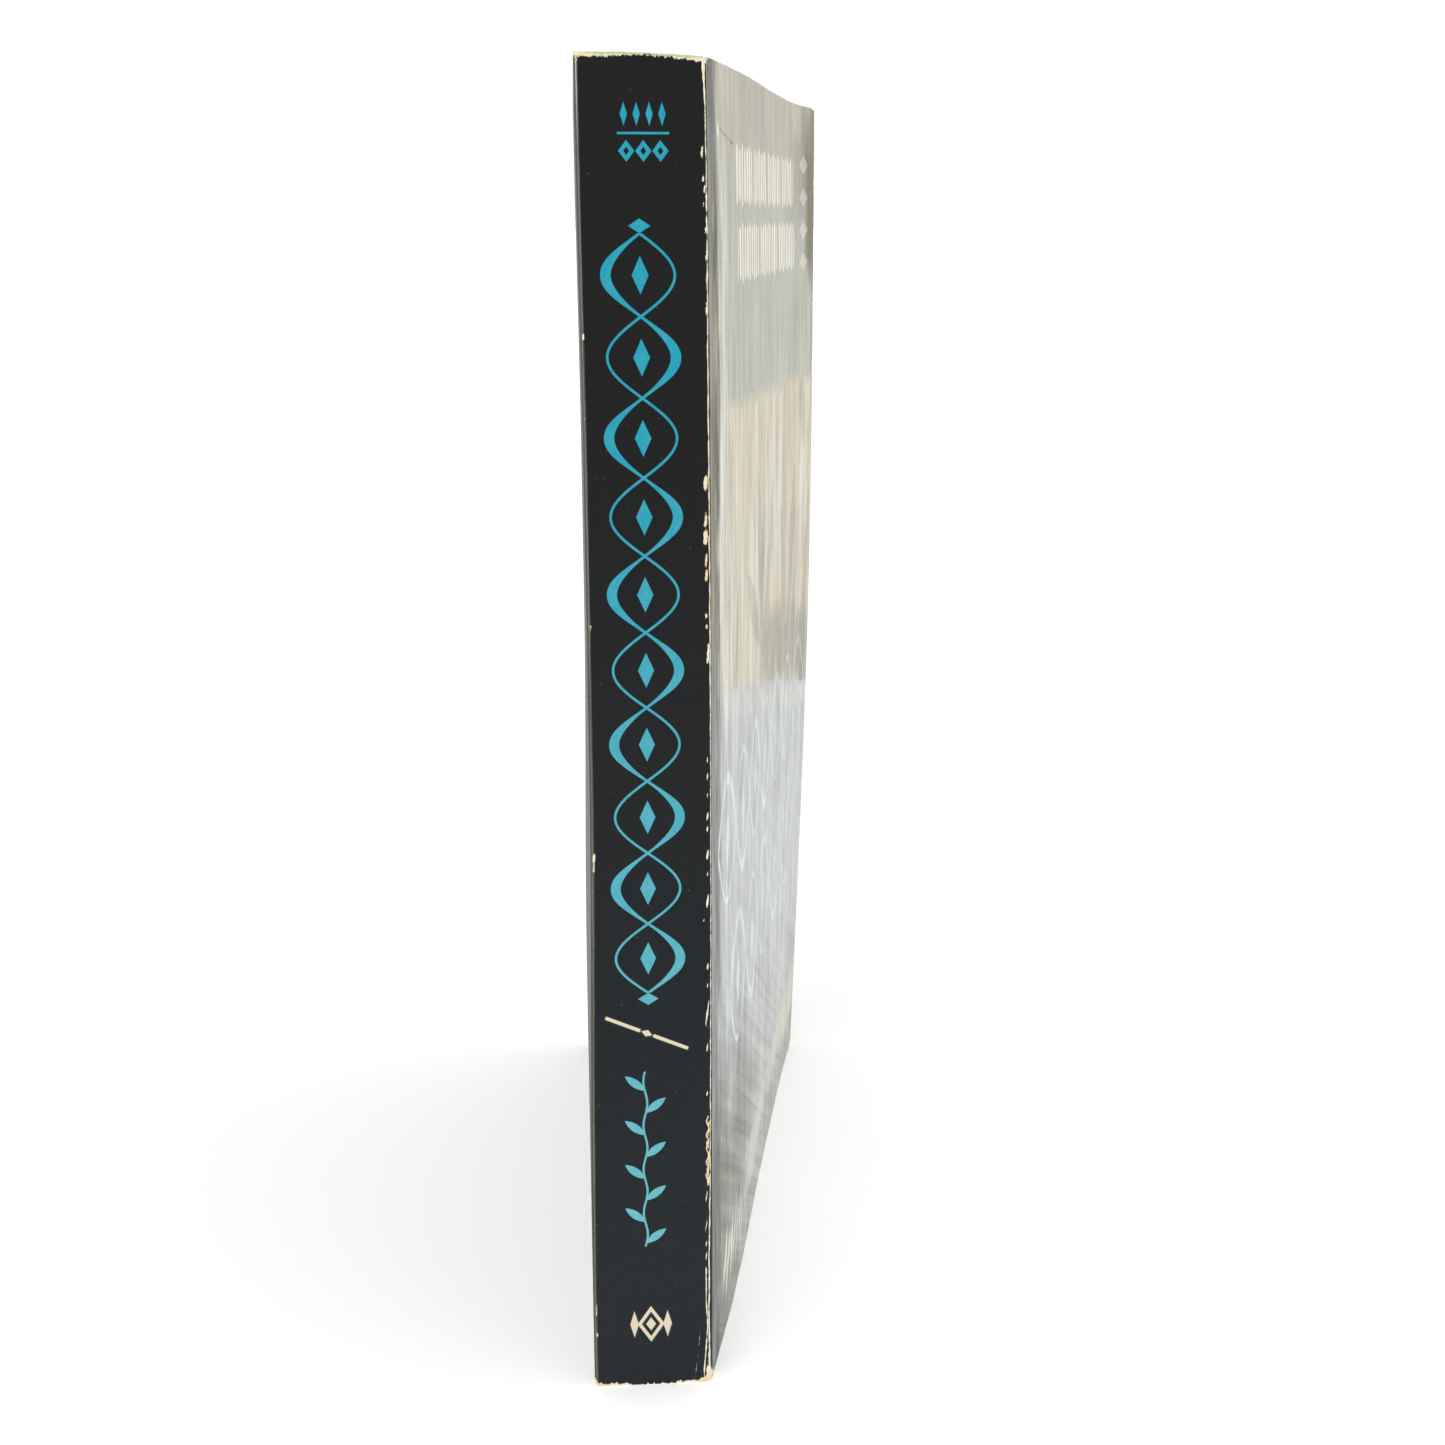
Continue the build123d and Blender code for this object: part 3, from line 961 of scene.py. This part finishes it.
def printed_card():
    """Varnished, printed cover card, worn to the bare card where it is rubbed. A thin dark rim of painted
    shade runs beside the black on the front cover's side, and a pale one of painted highlight, with
    rubbed card towards the head, on the back cover's."""
    finish = Finish("printed_card")
    u, v = finish.sheet()
    s = u - FRONT_FOLD_U
    edge = finish.noise(u, v, 0.9, 4.0, 3.0, 61.0)
    back_speck = finish.noise(u, v, 9.0, 7.0, 4.0, 71.0)
    light = (back_speck * 0.14 + edge * 0.12).clipped(0.1)
    back = finish.paint("back_ink").lay("hinge_grey", light)
    fold_lines = finish.noise(u, v, 0.10, 20.0, 2.0, 33.0)
    near_fold = u.above(BACK_FOLD_U - 0.6, 0.4)
    deep = fold_lines * 0.9 - v.below(110.0, 50.0) * 0.18 - 0.2
    back.shade(back_speck * 0.03 + deep * near_fold)
    colour = back.lay(spine_colour(finish, u, v), (u + edge * 0.06).above(BLACK_FROM_U, 0.08))
    colour.lay(front_colour(finish, s, v), (u + edge * 0.05).above(BLACK_TO_U, 0.06))
    # Painted shade: a thin dark line beside the rubbed front fold
    colour.lay("fold_groove_shade", (u + edge * 0.06).between(7.76, 8.06, 0.08))
    # Painted highlight along the back fold's crest, in bare card colour, with more rubbed card towards the
    # head
    back_fold_highlight_and_rub = (u + edge * 0.05).between(-7.56, -7.42, 0.06) * (v.above(159.0, 8.0) * 0.5 + 0.14)
    colour.lay("bare_card", back_fold_highlight_and_rub)

    tatters = finish.noise(u, v, 0.13, 0.18, 2.0, 19.0)
    ragged = finish.noise(u, v, 0.42, 0.75, 3.0, 7.0) * 0.14 + tatters * 0.08
    first, second, crease = (
        finish.attribute(line + "_half") - abs(finish.attribute(line + "_across"))
        for line in ("first", "second", "crease"))
    crease = crease + ragged * 0.3
    patch = (finish.attribute("rubbed_mm") + ragged * 2.3).larger(
        finish.attribute("chipped_mm") + ragged * 1.1)
    rubbed_mm = patch.larger(first.larger(second) + ragged * 0.45)
    bare = rubbed_mm.inside(0.045)
    speck = (finish.noise(u, v, 0.20, 0.24, 1.0, 23.0) - 0.75).inside(0.05) * 0.6
    card_tone = finish.noise(u, v, 0.6, 1.3, 3.0, 51.0)
    gold = (finish.attribute("soiled") + card_tone * 0.9).clipped(-0.06)
    card = finish.paint("bare_card").lay("gold_card", gold)
    # Painted shade in brown at the steps round the chips
    chip_step_shade = (1.0 - rubbed_mm / 0.07).clipped() * (patch + 0.05).inside(0.03)
    card.lay("chip_shade_brown", chip_step_shade * 0.5)
    at_head = (finish.attribute("from_head") + card_tone * 0.3).below(0.2, 0.16)
    card.lay("green_card", at_head * u.between(-6.4, 6.6, 1.5) * 0.9)
    card.shade(card_tone * 0.10)
    colour.lay("bare_card", speck * u.between(-7.2, 7.2, 0.1))
    colour.lay("pale_line", crease.inside(0.04) * 0.75)
    colour.lay(card, bare)

    fibre = finish.noise(u, v, 0.28, 0.34, 3.0, 2.0)
    dent = (1.0 - abs(s - 6.0) / 1.4).clipped()
    height = 1.0 - bare * 0.8 + fibre * 0.10 - dent * 0.5
    roughness = bare * 0.35 + fibre * 0.05 + 0.5
    return finish.finish(colour, roughness, height, specular=0.14, relief=0.06)


def bare_card():
    """Unprinted side and cut edges of the card: cream, browner in soft clouds, with fibres."""
    finish = Finish("bare_card")
    u, v = finish.sheet()
    cloud = finish.noise(u, v, 30.0, 34.0, 4.0, 5.0)
    fibre = finish.noise(u, v, 0.5, 0.9, 4.0, 8.0)
    share = (cloud * 0.6 + 0.3).clipped()
    colour = finish.paint("inner_card").lay("leaf", share)
    colour.lay("green_card", v.above(HEIGHT - 0.25, 0.2) * 0.6)
    colour.shade(fibre * 0.05)
    return finish.finish(colour, 0.85, fibre, specular=0.25, relief=0.03)


def leaf_paper():
    """Aged pulp paper: tan at the trimmed edges with painted shade in the grooves, a tone for each leaf,
    cream on the outermost leaves, and faded green dye on the head."""
    finish = Finish("leaf_paper")
    x, y, z = finish.object_place()
    groove = finish.attribute("groove")
    tone = finish.attribute("leaf_tone")
    edge = finish.attribute("trimmed")
    cloud = finish.noise(y, z, 26.0, 30.0, 4.0, 3.0)
    fibre = finish.noise(y, z, 0.5, 0.5, 3.0, 9.0, x / 0.5)
    margin = 1.0 - (53.0 - abs(y)).smaller(z).smaller(HEIGHT - z).above(9.0, 18.0)
    page = finish.paint("leaf").lay("leaf_edge", margin * 0.45 + cloud * 0.1)
    pale = (tone * 0.4 + cloud * 0.25).clipped(0.15)
    side = finish.paint("leaf_edge").lay("leaf", pale)
    # Painted shade in the grooves between the leaves
    side.lay("leaf_shade", groove * 0.6)
    dye_loss = finish.noise(x, y, 3.0, 12.0, 4.0, 13.0)
    dyed = z.above(HEIGHT - 0.45, 0.3) * (dye_loss * 0.15 + 0.78)
    stain = finish.paint("head_stain").lay("leaf_edge", 0.18)
    # The dye is darkened in the grooves too: painted shade
    stain.shade(tone * 0.06 - groove * 0.25)
    side.lay(stain, dyed)
    colour = page.lay(side, edge)
    colour.shade(fibre * 0.05 + tone * edge * 0.05)
    return finish.finish(colour, 0.9, fibre, specular=0.2, relief=0.02)


def binding_glue():
    """Aged adhesive: amber, slightly glossy and lumpy."""
    finish = Finish("binding_glue")
    x, y, z = finish.object_place()
    lump = finish.noise(x, z, 0.8, 1.1, 3.0, 4.0)
    colour = finish.paint("glue").lay("leaf_shade", (lump * 0.5 + 0.4).clipped())
    return finish.finish(colour, 0.42, lump, specular=0.45, relief=0.08)


def finish_of(maker):
    """The material that bears its maker's name, made once."""
    return bpy.data.materials.get(maker.__name__) or maker()


# Operators

class PAPERBACK_OT_page_block(bpy.types.Operator):
    """Make the page block: every leaf shows as a ridge round the three trimmed edges"""

    bl_idname = "paperback.page_block"
    bl_label = "Page block"

    def execute(self, context):
        sizes = context.scene.paperback_sizes
        rng = np.random.default_rng(21)
        thickness = BLOCK_HIGH[0] - BLOCK_LOW[0]
        leaf = thickness / sizes.leaves
        starts = np.arange(sizes.leaves) * leaf
        # Three rings to a leaf: the floor of the groove, then its edge from 0.22 to 0.78 of it
        depths = (starts[:, None] + leaf * np.array([0.0, 0.22, 0.78])).ravel()
        short = rng.uniform(0, 1, sizes.leaves) ** 3 * sizes.uneven_trim / MM
        # About one groove in ten is 3.5 times as deep
        deeper = 1 + 2.5 * (rng.uniform(0, 1, sizes.leaves) > 0.9)
        inset = np.stack([short + sizes.groove / MM * deeper, short, short], axis=-1).ravel()
        tone = np.repeat(rng.uniform(-1, 1, sizes.leaves), 3)
        depths = np.append(depths, thickness)

        def place(y, z, depth):
            """x = right side less depth, with the book's sideways squeeze and a faint ripple."""
            x = BLOCK_HIGH[0] - depth
            inner = np.sin(np.pi * depth / thickness)
            ripple = 0.06 * inner * np.sin(z / 23 + y / 41) * np.sin(depth * 0.9)
            return np.stack([x + squeeze(x, z) + ripple, y + 0 * x, z + 0 * x], axis=-1)

        def outline(y):
            return 0 * y, HEIGHT + 0 * y

        slab = closed_slab(
            np.linspace(BLOCK_LOW[1], FORE_EDGE, 27), np.linspace(0, 1, 35), outline, place,
            depths, -inset[1:, None])
        ring = np.searchsorted(depths, slab.depth - 1e-6)
        groove = np.append((np.arange(len(inset)) % 3 == 0) * 1.0, 0.0)[ring]
        trimmed = ((slab.depth > 0) & (slab.depth < thickness)) * 1.0
        fields = {"groove": groove * trimmed, "leaf_tone": np.append(tone, 0.0)[ring], "trimmed": trimmed}
        piece = mesh_piece("page_block", slab, [leaf_paper], fields)
        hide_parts("text_block")
        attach(piece, "root")
        return {"FINISHED"}


class PAPERBACK_OT_glue(bpy.types.Operator):
    """Make the film of glue between the leaves and the spine"""

    bl_idname = "paperback.glue"
    bl_label = "Binding glue"

    def execute(self, context):
        film = GLUE_HIGH[1] - GLUE_LOW[1]
        round_side = 0.35
        depths, pushes = rounded_rim(film, round_side, 6)

        def place(x, z, depth):
            """The inside of the spine's flat, depth into the book, squeezed as the book is."""
            return np.stack([x + squeeze(x, z), GLUE_LOW[1] + depth + 0 * x, z + 0 * x], axis=-1)

        def outline(x):
            """The film's height, with lumpy ends."""
            return (GLUE_LOW[2] + round_side + 0.2 + 0.2 * uneven(31, x, 2.4),
                    GLUE_HIGH[2] - round_side - 0.2 - 0.2 * uneven(32, x, 2.9))

        slab = closed_slab(
            np.linspace(GLUE_LOW[0] + round_side, GLUE_HIGH[0] - round_side, 57),
            np.linspace(0, 1, 60), outline, place, depths, pushes)
        piece = mesh_piece("binding_film", slab, [binding_glue])
        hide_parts("spine_glue")
        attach(piece, "root")
        return {"FINISHED"}


class PAPERBACK_OT_spine_card(bpy.types.Operator):
    """Make the flat of the cover card over the spine"""

    bl_idname = "paperback.spine_card"
    bl_label = "Spine card"

    def execute(self, context):
        columns = np.linspace(-SEAM_U, SEAM_U, 59)
        piece = card_piece("spine_card", columns, ("first", "last"))
        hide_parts("cover_spine")
        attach(piece, "root")
        return {"FINISHED"}


def bend_at(piece):
    """Bakes the piece's place into its mesh."""
    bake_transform(piece)


class PAPERBACK_OT_front_card(bpy.types.Operator):
    """Make the front cover, from the spine's flat round its fold to the fore edge"""

    bl_idname = "paperback.front_card"
    bl_label = "Front card"

    def execute(self, context):
        columns = np.concatenate([
            np.linspace(SEAM_U, FRONT_FOLD_U, 22),
            np.linspace(FRONT_FOLD_U + 0.15, FRONT_FOLD_U + 1.35, 9),
            np.linspace(FRONT_FOLD_U + 2.4, FRONT_EDGE_U, 47)])
        piece = card_piece("front_card", columns, ("first",))
        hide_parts("front_cover")
        bend_at(piece)
        return {"FINISHED"}


class PAPERBACK_OT_back_card(bpy.types.Operator):
    """Make the back cover, from the spine's flat round its fold to the fore edge"""

    bl_idname = "paperback.back_card"
    bl_label = "Back card"

    def execute(self, context):
        columns = np.concatenate([
            np.linspace(BACK_EDGE_U, BACK_FOLD_U - 2.4, 45),
            np.linspace(BACK_FOLD_U - 1.35, BACK_FOLD_U - 0.15, 9),
            np.linspace(BACK_FOLD_U, -SEAM_U, 22)])
        piece = card_piece("back_card", columns, ("last",))
        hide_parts("back_cover")
        bend_at(piece)
        return {"FINISHED"}


def white_floor():
    """White floor: diffuse, so that it takes the object's shadow, with a little white light added
    for the camera, for reflections and through glass."""
    material = bpy.data.materials.new("white_floor")
    material.use_nodes = True
    tree = material.node_tree
    tree.nodes.clear()
    out = tree.nodes.new("ShaderNodeOutputMaterial")
    diffuse = tree.nodes.new("ShaderNodeBsdfDiffuse")
    diffuse.inputs["Color"].default_value = (0.92, 0.92, 0.92, 1.0)
    glow = tree.nodes.new("ShaderNodeEmission")
    glow.inputs["Color"].default_value = (1.0, 1.0, 1.0, 1.0)
    both = tree.nodes.new("ShaderNodeAddShader")
    share = seen_directly(tree) * 0.27
    tree.links.new(share.socket, glow.inputs["Strength"])
    tree.links.new(diffuse.outputs[0], both.inputs[0])
    tree.links.new(glow.outputs[0], both.inputs[1])
    tree.links.new(both.outputs[0], out.inputs[0])
    return material


def seen_directly(tree):
    """1 for rays from the camera, off a glossy surface or through glass."""
    path = tree.nodes.new("ShaderNodeLightPath")
    rays = ("Is Camera Ray", "Is Glossy Ray", "Is Transmission Ray")
    return joined(*(Field(tree, path.outputs[name]) for name in rays))


class PAPERBACK_OT_stage(bpy.types.Operator):
    """Make the floor, the white surroundings, two soft lamps and the camera"""

    bl_idname = "paperback.stage"
    bl_label = "Stage"

    def execute(self, context):
        scene = context.scene
        values = scene.paperback_stage
        half = 30.0  # metres, far past the edge of every view
        mesh = bpy.data.meshes.new("floor")
        mesh.from_pydata(
            [(-half, -half, 0), (half, -half, 0), (half, half, 0), (-half, half, 0)], [], [(0, 1, 2, 3)])
        mesh.materials.append(white_floor())
        floor = bpy.data.objects.new("floor", mesh)
        scene.collection.objects.link(floor)

        world = bpy.data.worlds.new("surroundings")
        world.use_nodes = True
        scene.world = world
        sky = world.node_tree.nodes["Background"]
        sky.inputs["Color"].default_value = (1.0, 1.0, 1.0, 1.0)
        strength = seen_directly(world.node_tree) * (1.0 - values.sky) + values.sky
        world.node_tree.links.new(strength.socket, sky.inputs["Strength"])

        for name, strength, direction, spread in (
                ("key_lamp", values.key, (0.5, 0.75, -0.9), 50.0),
                ("fill_lamp", values.fill, (-0.9, 0.25, -0.6), 70.0)):
            lamp = bpy.data.lights.new(name, "SUN")
            lamp.energy = strength
            lamp.angle = math.radians(spread)
            holder = bpy.data.objects.new(name, lamp)
            holder.rotation_euler = Vector(direction).to_track_quat("-Z", "Y").to_euler()
            scene.collection.objects.link(holder)

        lens = bpy.data.cameras.new("camera")
        lens.lens = values.lens
        lens.sensor_width = 36.0
        lens.clip_start = 0.01
        lens.clip_end = 100.0
        camera = bpy.data.objects.new("camera", lens)
        camera.location = values.camera
        ahead = Vector((
            math.sin(values.turn) * math.cos(values.dip),
            math.cos(values.turn) * math.cos(values.dip),
            -math.sin(values.dip)))
        camera.rotation_euler = ahead.to_track_quat("-Z", "Y").to_euler()
        scene.collection.objects.link(camera)
        scene.camera = camera
        scene.view_settings.view_transform = "Standard"
        return {"FINISHED"}


class PAPERBACK_PT_panel(bpy.types.Panel):
    """Lists the sizes, the colours and the steps of the paperback"""

    bl_idname = "PAPERBACK_PT_panel"
    bl_label = "Paperback"
    bl_space_type = "VIEW_3D"
    bl_region_type = "UI"
    bl_category = "Paperback"

    def draw(self, context):
        layout = self.layout
        for group in (context.scene.paperback_sizes, context.scene.paperback_colours,
                      context.scene.paperback_stage):
            box = layout.box()
            for name in group.__annotations__:
                box.prop(group, name)
        for step in STEPS:
            layout.operator(step.bl_idname)


STEPS = (
    PAPERBACK_OT_page_block,
    PAPERBACK_OT_glue,
    PAPERBACK_OT_spine_card,
    PAPERBACK_OT_front_card,
    PAPERBACK_OT_back_card,
    PAPERBACK_OT_stage,
)
CLASSES = (PaperbackSizes, PaperbackColours, PaperbackStage) + STEPS + (PAPERBACK_PT_panel,)


def register():
    for cls in CLASSES:
        bpy.utils.register_class(cls)
    bpy.types.Scene.paperback_sizes = PointerProperty(type=PaperbackSizes)
    bpy.types.Scene.paperback_colours = PointerProperty(type=PaperbackColours)
    bpy.types.Scene.paperback_stage = PointerProperty(type=PaperbackStage)


def unregister():
    del bpy.types.Scene.paperback_stage
    del bpy.types.Scene.paperback_colours
    del bpy.types.Scene.paperback_sizes
    for cls in reversed(CLASSES):
        bpy.utils.unregister_class(cls)


def main():
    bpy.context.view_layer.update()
    register()
    bpy.ops.paperback.page_block()
    bpy.ops.paperback.glue()
    bpy.ops.paperback.spine_card()
    bpy.ops.paperback.front_card()
    bpy.ops.paperback.back_card()
    bpy.ops.paperback.stage()


if __name__ == "__main__":
    main()
